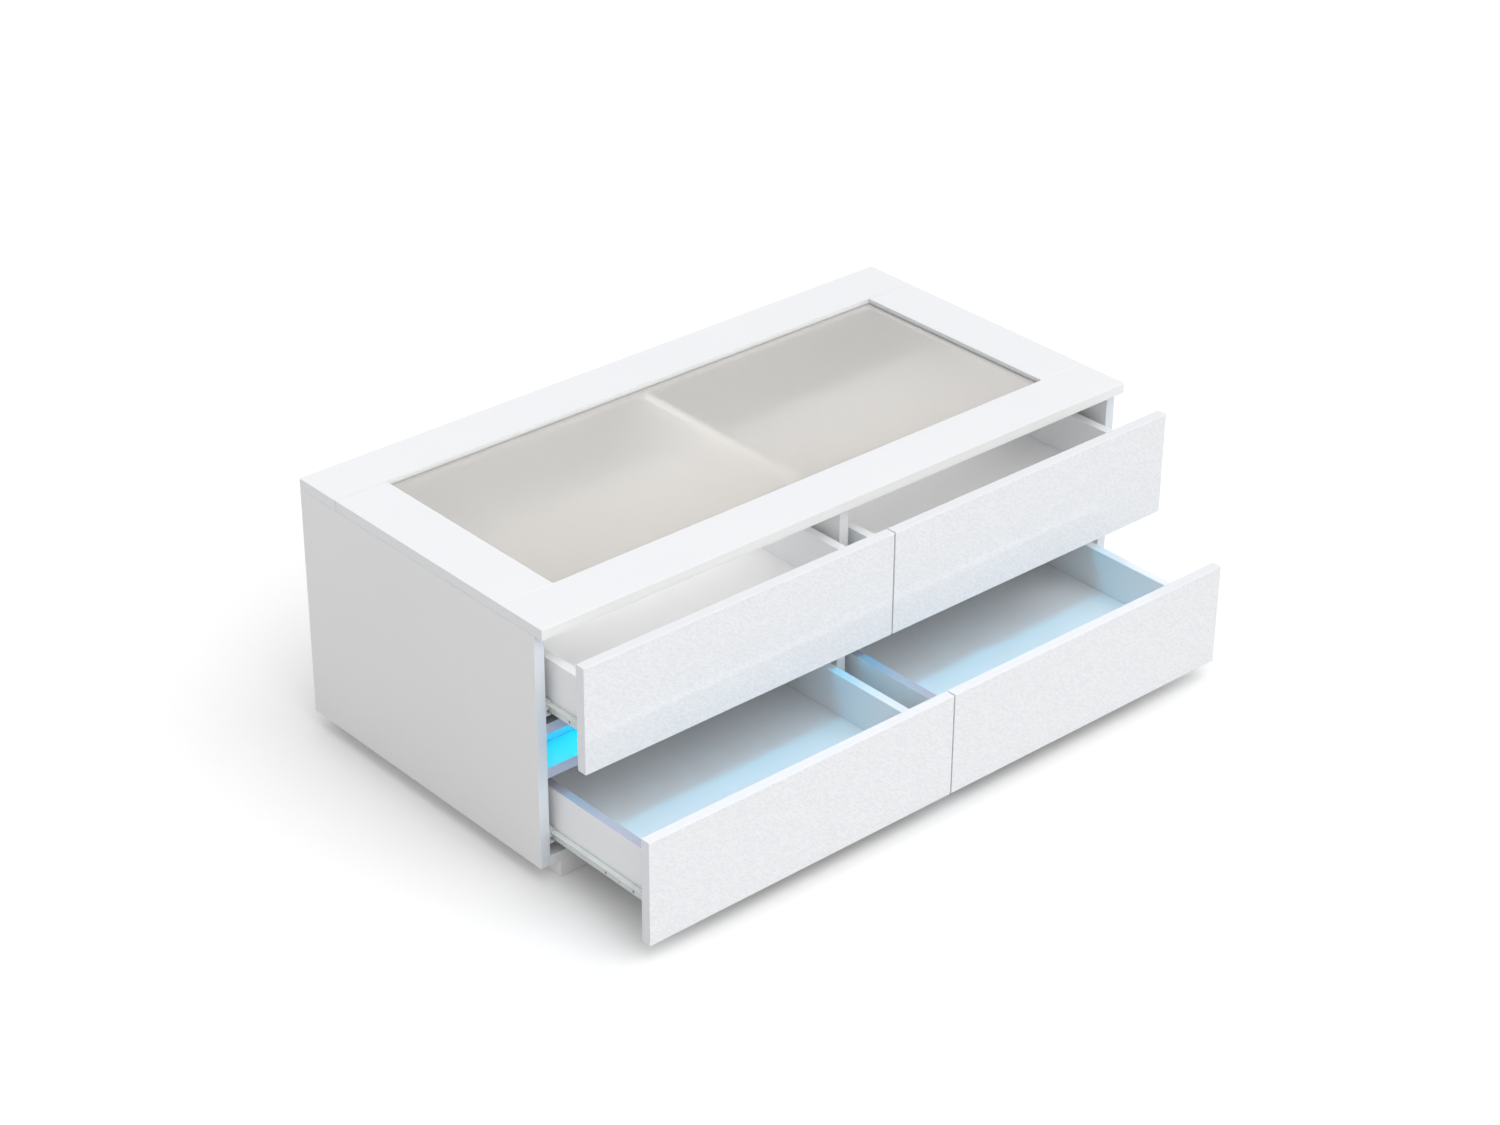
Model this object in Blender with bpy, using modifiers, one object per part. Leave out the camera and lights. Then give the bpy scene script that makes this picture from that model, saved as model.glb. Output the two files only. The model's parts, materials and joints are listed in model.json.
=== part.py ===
"""White coffee table with a frosted glass top, a lit recess and four drawers on roller slides.

Units are metres. The origin is on the floor under the middle of the table, +X runs along its length,
the drawers open towards -Y, and +Z is up.
"""

import math

import bmesh
import bpy

# Overall sizes
LENGTH = 1.200
DEPTH = 0.600
HEIGHT = 0.450
PLINTH_HEIGHT = 0.030

# Clearances
SEAT = 0.0003
OVERRUN = 0.005
GLASS_GAP = 0.0015
FRONT_REVEAL = 0.0025
FRONT_BACKLASH = 0.001

# Top frame and glass
TOP_THICKNESS = 0.018
RAIL_WIDTH = 0.095
GLASS_THICKNESS = 0.005
GLASS_DROP = 0.0076
LEDGE_WIDTH = 0.012
TONGUE_THICKNESS = 0.006
TONGUE_LENGTH = 0.012
TONGUE_SHOULDER = 0.015

# Carcass
BOARD = 0.018
BOTTOM_THICKNESS = 0.016
FRONT_THICKNESS = 0.018
LIGHT_GAP = 0.044
EDGE_ROUND = 0.0008
EDGE_STEPS = 2

# Plinth
PLINTH_BOARD = 0.018
PLINTH_END_INSET = 0.036
PLINTH_BACK_INSET = 0.020

# Light recess
RECESS_HEIGHT = 0.058
RECESS_DEPTH = 0.057
LIGHT_BOARD = 0.012
STRIP_WIDTH = 0.012
STRIP_THICKNESS = 0.002
STRIP_INSET = 0.022
STRIP_END_GAP = 0.006
CHIP_SIZE = 0.005
CHIP_HEIGHT = 0.0016
CHIP_PITCH = 0.0333
CHIP_SINK = 0.0005
CONTROLLER_SIZE = (0.085, 0.018, 0.036)
CONTROLLER_OFFSET = 0.150
CONTROLLER_ROUND = 0.002
INLET_RADIUS = 0.003
INLET_DEPTH = 0.008

# Drawer boxes
BOX_DROP = 0.051
BOX_RISE = 0.03875
BOX_LENGTH = 0.450
BOX_BOARD = 0.016
BASE_THICKNESS = 0.004
BASE_LIFT = 0.012
GROOVE_DEPTH = 0.006
UPPER_OPEN = 0.0933
LOWER_OPEN = 0.2329

# Roller slides
SLIDE_GAP = 0.0127
SLIDE_SETBACK = 0.001
STEEL = 0.0012
BEND_RADIUS = 0.001
BEND_STEPS = 2
RUNNER_HEIGHT = 0.021
RUNNER_FLANGE = 0.0101
RUNNER_HOOK = 0.0123
CHANNEL_HEIGHT = 0.0211
CHANNEL_FLANGE = 0.0097
SLIDE_TRAVEL = 0.335

# Rollers and the rivets that they turn on
FRONT_ROLLER_RADIUS = 0.0085
FRONT_ROLLER_SETBACK = 0.012
REAR_ROLLER_SETBACK = 0.014
ROLLER_WIDTH = 0.008
ROLLER_OFFSET = 0.002
ROLLER_EDGE = 0.0006
ROLLER_RECESS = 0.0015
ROLLER_HUB_RADIUS = 0.0036
ROLLER_RIM = 0.0016
ROLLER_STEPS = 16
RIVET_RADIUS = 0.0022
RIVET_HEAD_RADIUS = 0.0036
RIVET_HEAD = 0.0006
NOTCH_MARGIN = 0.0015

# Out-stop dimple in the channel's upper flange
DIMPLE_DEPTH = 0.0012
DIMPLE_TOP_RADIUS = 0.0038
DIMPLE_TIP_RADIUS = 0.0024

# Screw holes and slot of the slide members
HOLE_RADIUS = 0.0022
HOLE_STEPS = 8
RUNNER_HOLE_HEIGHT = 0.0045
RUNNER_HOLE_SHARES = (0.12, 0.26, 0.78)
CHANNEL_HOLE_SHARES = (0.12, 0.55, 0.92)
SLOT_LENGTH = 0.030
SLOT_HEIGHT = 0.0016
SLOT_SETBACK = 0.004

# Heights that follow from the sizes above
TOP_UNDERSIDE = HEIGHT - TOP_THICKNESS
CARCASS_TOP = TOP_UNDERSIDE - SEAT
FRONT_HEIGHT = (TOP_UNDERSIDE - FRONT_REVEAL - PLINTH_HEIGHT - LIGHT_GAP) / 2
LOWER_FRONT_BOTTOM = PLINTH_HEIGHT
UPPER_FRONT_BOTTOM = LOWER_FRONT_BOTTOM + FRONT_HEIGHT + LIGHT_GAP
BOX_HEIGHT = FRONT_HEIGHT - BOX_DROP - BOX_RISE
RECESS_MIDDLE = UPPER_FRONT_BOTTOM - LIGHT_GAP / 2
RECESS_BOTTOM = RECESS_MIDDLE - RECESS_HEIGHT / 2
RECESS_TOP = RECESS_MIDDLE + RECESS_HEIGHT / 2

# Plan positions that follow from the sizes above
END = LENGTH / 2
FRONT_PLANE = -DEPTH / 2
REAR_PLANE = DEPTH / 2
CARCASS_FRONT = FRONT_PLANE + FRONT_THICKNESS + FRONT_BACKLASH
BACK_INSIDE = REAR_PLANE - BOARD
SIDE_INSIDE = END - BOARD
BAY_WIDTH = SIDE_INSIDE - BOARD / 2
BAY_MIDDLE = (SIDE_INSIDE + BOARD / 2) / 2
RECESS_BACK = CARCASS_FRONT + RECESS_DEPTH
SHELF_BACK = RECESS_BACK + LIGHT_BOARD
OPENING_X = END - RAIL_WIDTH
OPENING_Y = REAR_PLANE - RAIL_WIDTH

# Drawer box, in its own frame: x from the bay's middle, y from the front's face, z from the sides' lower edge
BOX_HALF = BAY_WIDTH / 2 - SLIDE_GAP
BOX_INSIDE = BOX_HALF - BOX_BOARD
BOX_FRONT = FRONT_THICKNESS + SEAT
BOX_REAR = FRONT_THICKNESS + BOX_LENGTH

# Slide sections: u runs from the carcass towards the drawer, w upwards from the sides' lower edge
CHANNEL_WEB = SEAT + STEEL / 2
CHANNEL_FLOOR = -STEEL / 2
CHANNEL_ROOF = CHANNEL_HEIGHT + STEEL / 2
CHANNEL_TIP = SEAT + CHANNEL_FLANGE
RUNNER_WEB = SLIDE_GAP - SEAT - STEEL / 2
RUNNER_FLOOR = -SEAT - STEEL / 2
RUNNER_ROOF = RUNNER_HEIGHT - STEEL - SEAT - STEEL / 2
RUNNER_TIP = SLIDE_GAP - SEAT - RUNNER_FLANGE
FRONT_ROLLER_HEIGHT = RUNNER_ROOF - STEEL / 2 - SEAT - FRONT_ROLLER_RADIUS
REAR_ROLLER_RADIUS = CHANNEL_HEIGHT / 2 - SEAT
REAR_ROLLER_HEIGHT = CHANNEL_HEIGHT / 2
CHANNEL_START = CARCASS_FRONT + SLIDE_SETBACK

RAIL_HANDS = {"left": -1, "right": 1}
ROWS = {
    "upper": (UPPER_FRONT_BOTTOM, UPPER_OPEN),
    "lower": (LOWER_FRONT_BOTTOM, LOWER_OPEN),
}

WHITE_GLOSS = ("white_gloss_lacquer", (0.90, 0.90, 0.93), 0.12, 0.0)
WHITE_INNER = ("white_inner_board", (0.78, 0.78, 0.80), 0.5, 0.0)
FROSTED = ("frosted_glass", (0.62, 0.60, 0.57), 0.35, 0.0)
SLIDE_STEEL = ("coated_slide_steel", (0.62, 0.66, 0.65), 0.35, 0.5)
NYLON = ("nylon_roller", (0.85, 0.85, 0.83), 0.40, 0.0)
LIT_STRIP = ("led_strip_cyan", (0.20, 0.85, 1.00), 0.50, 0.0)
CASE_PLASTIC = ("controller_plastic", (0.86, 0.86, 0.86), 0.40, 0.0)


def clear_scene():
    for obj in list(bpy.data.objects):
        bpy.data.objects.remove(obj, do_unlink=True)


def new_collection(name):
    collection = bpy.data.collections.new(name)
    bpy.context.scene.collection.children.link(collection)
    return collection


def material(obj, finish):
    """Give the object a material of its own with this finish."""
    name, colour, roughness, metallic = finish
    made = bpy.data.materials.new(f"{obj.name}_{name}")
    made.use_nodes = True
    shader = made.node_tree.nodes["Principled BSDF"]
    shader.inputs["Base Color"].default_value = (*colour, 1)
    shader.inputs["Roughness"].default_value = roughness
    shader.inputs["Metallic"].default_value = metallic
    if finish is LIT_STRIP:
        shader.inputs["Emission Color"].default_value = (*colour, 1)
        shader.inputs["Emission Strength"].default_value = 3
    obj.data.materials.clear()
    obj.data.materials.append(made)


def place(name, mesh, parent=None, location=(0, 0, 0)):
    obj = bpy.data.objects.new(name, mesh)
    obj.location = location
    obj.parent = parent
    TABLE.objects.link(obj)
    return obj


def hidden(obj):
    """Move a helper object to the cutters and keep it out of renders."""
    for collection in list(obj.users_collection):
        collection.objects.unlink(obj)
    CUTTERS.objects.link(obj)
    obj.hide_render = True
    obj.display_type = "WIRE"
    return obj


def box_mesh(name, size):
    shape = bmesh.new()
    bmesh.ops.create_cube(shape, size=1)
    bmesh.ops.scale(shape, vec=size, verts=shape.verts)
    mesh = bpy.data.meshes.new(name)
    shape.to_mesh(mesh)
    shape.free()
    return mesh


def block(name, xs, ys, zs, parent=None):
    """A plain block that fills three spans."""
    spans = (xs, ys, zs)
    size = [high - low for low, high in spans]
    middle = [(low + high) / 2 for low, high in spans]
    return place(name, box_mesh(name, size), parent, middle)


def board(name, xs, ys, zs, finish=WHITE_GLOSS, parent=None, rounding=EDGE_ROUND):
    """A board with softly rounded edges."""
    obj = block(name, xs, ys, zs, parent)
    bevel = obj.modifiers.new("edges", "BEVEL")
    bevel.width = rounding
    bevel.segments = EDGE_STEPS
    material(obj, finish)
    return obj


def combine(obj, other, operation):
    boolean = obj.modifiers.new(f"{operation.lower()}_{other.name}", "BOOLEAN")
    boolean.operation = operation
    boolean.object = other


def cut(obj, *others):
    for other in others:
        combine(obj, other, "DIFFERENCE")


def join(obj, *others):
    for other in others:
        combine(obj, other, "UNION")


def baked(obj):
    """The object's mesh with its modifiers applied; the object itself is removed."""
    bpy.context.view_layer.update()
    graph = bpy.context.evaluated_depsgraph_get()
    mesh = bpy.data.meshes.new_from_object(obj.evaluated_get(graph))
    mesh.name = obj.name
    bpy.data.objects.remove(obj, do_unlink=True)
    return mesh


def tongue_block(name, hand, end, clearance):
    """The tongue of a side rail, or with a clearance its mortise in a long rail."""
    outer = END - TONGUE_SHOULDER + clearance
    inner = OPENING_X + TONGUE_SHOULDER - clearance
    root = OPENING_Y - SEAT - OVERRUN
    tip = OPENING_Y + TONGUE_LENGTH + clearance
    middle = HEIGHT - TOP_THICKNESS / 2
    half = TONGUE_THICKNESS / 2 + clearance
    xs = sorted((hand * inner, hand * outer))
    ys = sorted((end * root, end * tip))
    return hidden(block(name, xs, ys, (middle - half, middle + half)))


def make_top():
    pocket = hidden(
        block(
            "glass_pocket",
            (-OPENING_X, OPENING_X),
            (-OPENING_Y, OPENING_Y),
            (HEIGHT - GLASS_DROP - GLASS_THICKNESS - SEAT, HEIGHT + OVERRUN),
        )
    )
    levels = (TOP_UNDERSIDE, HEIGHT)
    ledge_x = OPENING_X - LEDGE_WIDTH
    ledge_y = OPENING_Y - LEDGE_WIDTH
    zones = []
    for side, hand in RAIL_HANDS.items():
        xs = sorted((hand * ledge_x, hand * END))
        rail = board(f"top_{side}_rail", xs, (-OPENING_Y + SEAT, OPENING_Y - SEAT), levels)
        cut(rail, pocket)
        for end in (-1, 1):
            join(rail, tongue_block(f"{side}_tongue_{end}", hand, end, 0))
        zone_xs = sorted((hand * (ledge_x - SEAT), hand * (END + OVERRUN)))
        zone_levels = (TOP_UNDERSIDE - OVERRUN, HEIGHT + OVERRUN)
        zones.append(hidden(block(f"{side}_rail_zone", zone_xs, (-OPENING_Y, OPENING_Y), zone_levels)))
    for side, end in (("front", -1), ("back", 1)):
        ys = sorted((end * ledge_y, end * REAR_PLANE))
        rail = board(f"top_{side}_rail", (-END, END), ys, levels)
        cut(rail, pocket, *zones)
        for name, hand in RAIL_HANDS.items():
            cut(rail, tongue_block(f"{side}_mortise_{name}", hand, end, SEAT))
    pane_x = OPENING_X - GLASS_GAP
    pane_y = OPENING_Y - GLASS_GAP
    pane_top = HEIGHT - GLASS_DROP
    board(
        "frosted_glass",
        (-pane_x, pane_x),
        (-pane_y, pane_y),
        (pane_top - GLASS_THICKNESS, pane_top),
        FROSTED,
    )


def make_carcass():
    inside = (-SIDE_INSIDE + SEAT, SIDE_INSIDE - SEAT)
    for side, hand in RAIL_HANDS.items():
        xs = sorted((hand * SIDE_INSIDE, hand * END))
        board(f"side_panel_{side}", xs, (CARCASS_FRONT, REAR_PLANE), (PLINTH_HEIGHT, CARCASS_TOP))
    board("back_panel", inside, (BACK_INSIDE, REAR_PLANE), (PLINTH_HEIGHT, CARCASS_TOP))
    bottom_top = PLINTH_HEIGHT + BOTTOM_THICKNESS
    depth_span = (CARCASS_FRONT, BACK_INSIDE - SEAT)
    board("bottom_panel", inside, depth_span, (PLINTH_HEIGHT, bottom_top))
    divider = board(
        "centre_divider",
        (-BOARD / 2, BOARD / 2),
        depth_span,
        (bottom_top + SEAT, CARCASS_TOP),
    )
    notch = hidden(
        block(
            "divider_notch",
            (-BOARD / 2 - OVERRUN, BOARD / 2 + OVERRUN),
            (CARCASS_FRONT - OVERRUN, SHELF_BACK + SEAT),
            (RECESS_BOTTOM - BOARD - SEAT, RECESS_TOP + BOARD + SEAT),
        )
    )
    cut(divider, notch)


def make_plinth():
    """Front, back and end boards glued round a centre rail under the divider."""
    half = END - PLINTH_END_INSET
    rear = REAR_PLANE - PLINTH_BACK_INSET
    plinth = board(
        "plinth_frame",
        (-half, half),
        (CARCASS_FRONT, rear),
        (0, PLINTH_HEIGHT - SEAT),
    )
    for side, hand in RAIL_HANDS.items():
        bay = hidden(
            block(
                f"plinth_bay_{side}",
                sorted((hand * PLINTH_BOARD / 2, hand * (half - PLINTH_BOARD))),
                (CARCASS_FRONT + PLINTH_BOARD, rear - PLINTH_BOARD),
                (-OVERRUN, PLINTH_HEIGHT + OVERRUN),
            )
        )
        cut(plinth, bay)


def make_light_recess():
    inside = (-SIDE_INSIDE + SEAT, SIDE_INSIDE - SEAT)
    depth_span = (CARCASS_FRONT, SHELF_BACK)
    board("light_shelf_upper", inside, depth_span, (RECESS_TOP, RECESS_TOP + BOARD))
    board("light_shelf_lower", inside, depth_span, (RECESS_BOTTOM - BOARD, RECESS_BOTTOM))
    board(
        "light_back_board",
        inside,
        (RECESS_BACK, SHELF_BACK),
        (RECESS_BOTTOM + SEAT, RECESS_TOP - SEAT),
    )
    make_strip()
    make_controller()


def make_strip():
    """A flexible circuit under the upper shelf, with a row of light chips."""
    half = SIDE_INSIDE - STRIP_END_GAP
    middle = CARCASS_FRONT + STRIP_INSET
    top = RECESS_TOP - SEAT
    underside = top - STRIP_THICKNESS
    strip = block(
        "led_strip",
        (-half, half),
        (middle - STRIP_WIDTH / 2, middle + STRIP_WIDTH / 2),
        (underside, top),
    )
    material(strip, LIT_STRIP)
    count = int((2 * half - CHIP_SIZE) / CHIP_PITCH)
    shape = bmesh.new()
    for index in range(count):
        offset = (index - (count - 1) / 2) * CHIP_PITCH
        chip = bmesh.ops.create_cube(shape, size=1)["verts"]
        bmesh.ops.scale(shape, vec=(CHIP_SIZE, CHIP_SIZE, CHIP_HEIGHT + CHIP_SINK), verts=chip)
        lift = underside + (CHIP_SINK - CHIP_HEIGHT) / 2
        bmesh.ops.translate(shape, vec=(offset, middle, lift), verts=chip)
    mesh = bpy.data.meshes.new("light_chips")
    shape.to_mesh(mesh)
    shape.free()
    join(strip, hidden(place("light_chips", mesh)))


def make_controller():
    """The strip's controller box, fixed behind the light back board, with its supply inlet in one end."""
    width, depth, height = CONTROLLER_SIZE
    left = CONTROLLER_OFFSET
    front = SHELF_BACK + SEAT
    case = board(
        "led_controller",
        (left, left + width),
        (front, front + depth),
        (RECESS_MIDDLE - height / 2, RECESS_MIDDLE + height / 2),
        CASE_PLASTIC,
        rounding=CONTROLLER_ROUND,
    )
    inlet = round_cutter("inlet", INLET_RADIUS, 2 * INLET_DEPTH)
    inlet.location = (left + width, front + depth / 2, RECESS_MIDDLE)
    cut(case, inlet)


def round_cutter(name, radius, length):
    """A hidden cylinder along X."""
    shape = bmesh.new()
    bmesh.ops.create_cone(
        shape,
        cap_ends=True,
        segments=HOLE_STEPS,
        radius1=radius,
        radius2=radius,
        depth=length,
    )
    mesh = bpy.data.meshes.new(name)
    shape.to_mesh(mesh)
    shape.free()
    cylinder = hidden(place(name, mesh))
    cylinder.rotation_euler = (0, math.pi / 2, 0)
    return cylinder


def rounded_path(points):
    """The path with each inner corner turned into an arc of the bend radius."""
    path = [points[0]]
    for before, corner, after in zip(points, points[1:], points[2:]):
        into = unit(before, corner)
        out = unit(corner, after)
        start = [corner[i] - into[i] * BEND_RADIUS for i in (0, 1)]
        centre = [start[i] + out[i] * BEND_RADIUS for i in (0, 1)]
        for step in range(BEND_STEPS + 1):
            turn = step / BEND_STEPS * math.pi / 2
            along = math.sin(turn) * BEND_RADIUS
            across = math.cos(turn) * BEND_RADIUS
            path.append([centre[i] + into[i] * along - out[i] * across for i in (0, 1)])
    path.append(points[-1])
    return path


def unit(start, end):
    length = math.dist(start, end)
    return [(end[i] - start[i]) / length for i in (0, 1)]


def rolled_steel(name, points, length, hand):
    """A rolled steel section along Y: an open strip given its thickness."""
    shape = bmesh.new()
    row = [shape.verts.new((hand * u, 0, w)) for u, w in rounded_path(points)]
    edges = [shape.edges.new(pair) for pair in zip(row, row[1:])]
    swept = bmesh.ops.extrude_edge_only(shape, edges=edges)["geom"]
    moved = [item for item in swept if isinstance(item, bmesh.types.BMVert)]
    bmesh.ops.translate(shape, vec=(0, length, 0), verts=moved)
    bmesh.ops.recalc_face_normals(shape, faces=shape.faces)
    mesh = bpy.data.meshes.new(name)
    shape.to_mesh(mesh)
    shape.free()
    obj = place(name, mesh)
    solid = obj.modifiers.new("thickness", "SOLIDIFY")
    solid.thickness = STEEL
    solid.offset = 0
    solid.use_even_offset = True
    return obj


def turned(name, profile, closed):
    """A turned piece about X: the profile's points are (distance along the axis, radius)."""
    shape = bmesh.new()
    row = [shape.verts.new((radius, 0, along)) for along, radius in profile]
    pairs = list(zip(row, row[1:]))
    if closed:
        pairs.append((row[-1], row[0]))
    for pair in pairs:
        shape.edges.new(pair)
    mesh = bpy.data.meshes.new(name)
    shape.to_mesh(mesh)
    shape.free()
    obj = place(name, mesh)
    screw = obj.modifiers.new("turn", "SCREW")
    screw.steps = ROLLER_STEPS
    screw.render_steps = ROLLER_STEPS
    screw.use_merge_vertices = True
    screw.merge_threshold = 0.00001
    screw.use_normal_calculate = True
    return obj


def roller_profile(radius, inner):
    """A nylon roller with a recess round its hub; the last point is the first one's partner at the inner radius."""
    rim = radius - ROLLER_RIM
    return [
        (ROLLER_WIDTH, inner),
        (ROLLER_WIDTH, ROLLER_HUB_RADIUS),
        (ROLLER_WIDTH - ROLLER_RECESS, ROLLER_HUB_RADIUS),
        (ROLLER_WIDTH - ROLLER_RECESS, rim),
        (ROLLER_WIDTH, rim),
        (ROLLER_WIDTH, radius - ROLLER_EDGE),
        (ROLLER_WIDTH - ROLLER_EDGE, radius),
        (ROLLER_EDGE, radius),
        (0, radius - ROLLER_EDGE),
        (0, inner),
    ]


def towards_drawer(obj, hand, u, y, w):
    """Stand a turned piece on the slide's section, with its axis pointing from the carcass to the drawer."""
    obj.location = (hand * u, y, w)
    obj.rotation_euler = (0, hand * math.pi / 2, 0)
    return obj


def front_roller_mesh():
    roller = turned("front_roller", roller_profile(FRONT_ROLLER_RADIUS, RIVET_RADIUS + SEAT), True)
    return baked(roller)


def channel_mesh(side, hand):
    """The cabinet member: a channel with a rivet for the front roller, screw holes and an out-stop dimple."""
    section = [
        (CHANNEL_TIP, CHANNEL_FLOOR),
        (CHANNEL_WEB, CHANNEL_FLOOR),
        (CHANNEL_WEB, CHANNEL_ROOF),
        (CHANNEL_TIP, CHANNEL_ROOF),
    ]
    channel = rolled_steel(f"channel_{side}", section, BOX_LENGTH, hand)
    for index, share in enumerate(CHANNEL_HOLE_SHARES):
        hole = round_cutter(f"channel_hole_{side}_{index}", HOLE_RADIUS, 2 * OVERRUN)
        hole.location = (hand * CHANNEL_WEB, share * BOX_LENGTH, CHANNEL_HEIGHT / 2)
        cut(channel, hole)
    head = ROLLER_OFFSET + ROLLER_WIDTH + SEAT
    rivet = turned(
        f"rivet_{side}",
        [
            (head + RIVET_HEAD, 0),
            (head + RIVET_HEAD, RIVET_HEAD_RADIUS),
            (head, RIVET_HEAD_RADIUS),
            (head, RIVET_RADIUS),
            (CHANNEL_WEB, RIVET_RADIUS),
            (CHANNEL_WEB, 0),
        ],
        False,
    )
    join(channel, hidden(towards_drawer(rivet, hand, 0, FRONT_ROLLER_SETBACK, FRONT_ROLLER_HEIGHT)))
    join(channel, dimple(side, hand))
    return baked(channel)


def dimple(side, hand):
    """A round dimple pressed down where the drawer's rear roller stops when it is fully out."""
    fall = REAR_ROLLER_HEIGHT + REAR_ROLLER_RADIUS - (CHANNEL_HEIGHT - DIMPLE_DEPTH)
    reach = math.sqrt(REAR_ROLLER_RADIUS**2 - (REAR_ROLLER_RADIUS - fall) ** 2)
    roller_out = BOX_REAR - REAR_ROLLER_SETBACK - SLIDE_TRAVEL + FRONT_PLANE - CHANNEL_START
    shape = bmesh.new()
    bmesh.ops.create_cone(
        shape,
        cap_ends=True,
        segments=HOLE_STEPS,
        radius1=DIMPLE_TIP_RADIUS,
        radius2=DIMPLE_TOP_RADIUS,
        depth=DIMPLE_DEPTH + STEEL / 2,
    )
    mesh = bpy.data.meshes.new(f"dimple_{side}")
    shape.to_mesh(mesh)
    shape.free()
    pressed = hidden(place(f"dimple_{side}", mesh))
    pressed.location = (
        hand * (SEAT + CHANNEL_FLANGE / 2),
        roller_out - reach - SEAT - DIMPLE_TIP_RADIUS,
        CHANNEL_HEIGHT + (STEEL / 2 - DIMPLE_DEPTH) / 2,
    )
    return pressed


def runner_mesh(side, hand):
    """The drawer member: it hooks under the drawer's side and carries a roller at its rear end."""
    section = [
        (RUNNER_TIP, RUNNER_ROOF),
        (RUNNER_WEB, RUNNER_ROOF),
        (RUNNER_WEB, RUNNER_FLOOR),
        (SLIDE_GAP + RUNNER_HOOK, RUNNER_FLOOR),
    ]
    length = BOX_LENGTH - SEAT
    runner = rolled_steel(f"runner_{side}", section, length, hand)
    relief = REAR_ROLLER_SETBACK + REAR_ROLLER_RADIUS + NOTCH_MARGIN
    notch = hidden(
        block(
            f"runner_notch_{side}",
            sorted((hand * (RUNNER_TIP - OVERRUN), hand * (RUNNER_WEB - STEEL / 2))),
            (length - relief, length + OVERRUN),
            (RUNNER_ROOF - STEEL, RUNNER_ROOF + OVERRUN),
        )
    )
    cut(runner, notch)
    for index, share in enumerate(RUNNER_HOLE_SHARES):
        hole = round_cutter(f"runner_hole_{side}_{index}", HOLE_RADIUS, 2 * OVERRUN)
        hole.location = (hand * RUNNER_WEB, share * BOX_LENGTH, RUNNER_HOLE_HEIGHT)
        cut(runner, hole)
    slot = hidden(
        block(
            f"runner_slot_{side}",
            sorted((hand * (RUNNER_WEB - OVERRUN), hand * (RUNNER_WEB + OVERRUN))),
            (SLOT_SETBACK, SLOT_SETBACK + SLOT_LENGTH),
            (RUNNER_HOLE_HEIGHT + HOLE_RADIUS - SLOT_HEIGHT, RUNNER_HOLE_HEIGHT + HOLE_RADIUS),
        )
    )
    cut(runner, slot)
    profile = [(RUNNER_WEB - ROLLER_OFFSET, 0), (RUNNER_WEB - ROLLER_OFFSET, RIVET_RADIUS)]
    profile += roller_profile(REAR_ROLLER_RADIUS, RIVET_RADIUS)[:-1]
    profile.append((0, 0))
    wheel = turned(f"rear_roller_{side}", profile, False)
    middle = length - REAR_ROLLER_SETBACK
    join(runner, hidden(towards_drawer(wheel, hand, ROLLER_OFFSET, middle, REAR_ROLLER_HEIGHT)))
    return baked(runner)


def make_drawer(row, side, runner_meshes):
    """One drawer and its runners, hung on an empty that slides along Y."""
    front_bottom, opened = ROWS[row]
    hand = RAIL_HANDS[side]
    bottom = front_bottom + BOX_RISE
    name = f"{row}_{side}"
    slider = place(f"{name}_drawer_slider", None, None, (hand * BAY_MIDDLE, FRONT_PLANE - opened, bottom))
    face_xs = sorted((hand * FRONT_REVEAL / 2 - hand * BAY_MIDDLE, hand * END - hand * BAY_MIDDLE))
    face = board(
        f"{name}_drawer_front",
        face_xs,
        (0, FRONT_THICKNESS),
        (-BOX_RISE, FRONT_HEIGHT - BOX_RISE),
        parent=slider,
    )
    base_half = BOX_INSIDE + GROOVE_DEPTH
    base_front = FRONT_THICKNESS - GROOVE_DEPTH
    groove = hidden(
        block(
            f"{name}_groove",
            (-base_half - SEAT, base_half + SEAT),
            (base_front - SEAT, BOX_REAR + OVERRUN),
            (BASE_LIFT - SEAT, BASE_LIFT + BASE_THICKNESS + SEAT),
            slider,
        )
    )
    cut(face, groove)
    for wall, turn in RAIL_HANDS.items():
        xs = sorted((turn * BOX_INSIDE, turn * BOX_HALF))
        wall_board = board(
            f"{name}_drawer_{wall}_side", xs, (BOX_FRONT, BOX_REAR), (0, BOX_HEIGHT), WHITE_INNER, slider
        )
        cut(wall_board, groove)
        runner = place(
            f"{name}_runner_{wall}",
            runner_meshes[wall],
            slider,
            (turn * BAY_WIDTH / 2, BOX_FRONT, 0),
        )
        material(runner, SLIDE_STEEL)
    board(
        f"{name}_drawer_back",
        (-BOX_INSIDE + SEAT, BOX_INSIDE - SEAT),
        (BOX_REAR - BOX_BOARD, BOX_REAR),
        (BASE_LIFT + BASE_THICKNESS + SEAT, BOX_HEIGHT),
        WHITE_INNER,
        slider,
    )
    board(
        f"{name}_drawer_base",
        (-base_half, base_half),
        (base_front, BOX_REAR),
        (BASE_LIFT, BASE_LIFT + BASE_THICKNESS),
        WHITE_INNER,
        slider,
        rounding=BASE_THICKNESS / 10,
    )


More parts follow.
